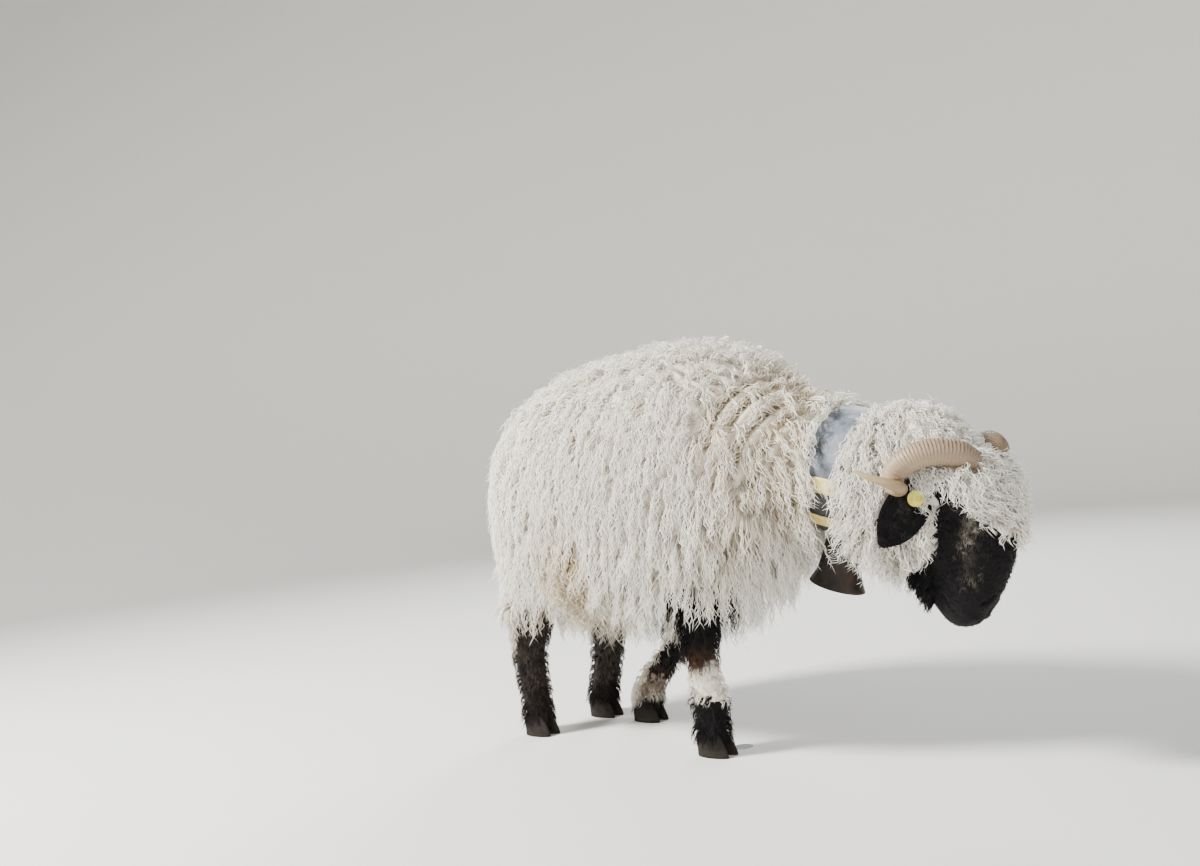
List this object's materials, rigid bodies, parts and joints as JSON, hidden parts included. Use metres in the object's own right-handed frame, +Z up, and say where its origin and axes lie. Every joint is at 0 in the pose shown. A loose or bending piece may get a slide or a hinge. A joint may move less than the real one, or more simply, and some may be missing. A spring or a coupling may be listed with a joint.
{
  "type": "valais blacknose sheep",
  "caption": "Still life-size horned blacknose ewe in long white fleece, walking with its head low, with a collar, a bell and an ear tag.",
  "frame": {"origin": "middle of the whole animal's box seen from above, on the floor under its hooves", "axes": "+X forward, towards the head; +Y the animal's left; +Z up"},
  "size_m": [1.237, 0.5006, 0.8187],
  "materials": {
    "fleece": "long wavy cream wool",
    "black_wool": "short dense black wool",
    "leg_wool": "mottled white and black wool",
    "horn": "ridged tan horn",
    "hoof": "dark worn horn",
    "eye": "wet and glossy",
    "collar": "worn dark strap",
    "band": "pale yellow worn band",
    "bell_steel": "dark forged steel",
    "tag": "yellow moulded plastic, bare"
  },
  "bodies": {
    "root": {"torso": "fleece", "neck": "fleece", "tail": "fleece", "head": "black_wool", "ear_right": "black_wool", "ear_left": "black_wool", "eye_right": "eye", "eye_left": "eye", "horn_right": "horn", "horn_left": "horn", "leg_front_right": "leg_wool", "leg_front_left": "leg_wool", "leg_hind_right": "leg_wool", "leg_hind_left": "leg_wool", "hoof_front_right": "hoof", "hoof_front_left": "hoof", "hoof_hind_right": "hoof", "hoof_hind_left": "hoof", "collar_strap": "collar", "collar_band_upper_right": "band", "collar_band_upper_left": "band", "collar_band_lower_right": "band", "collar_band_lower_left": "band", "bell": "bell_steel", "bell_clapper": "bell_steel", "ear_tag": "tag"}
  },
  "joints": []
}
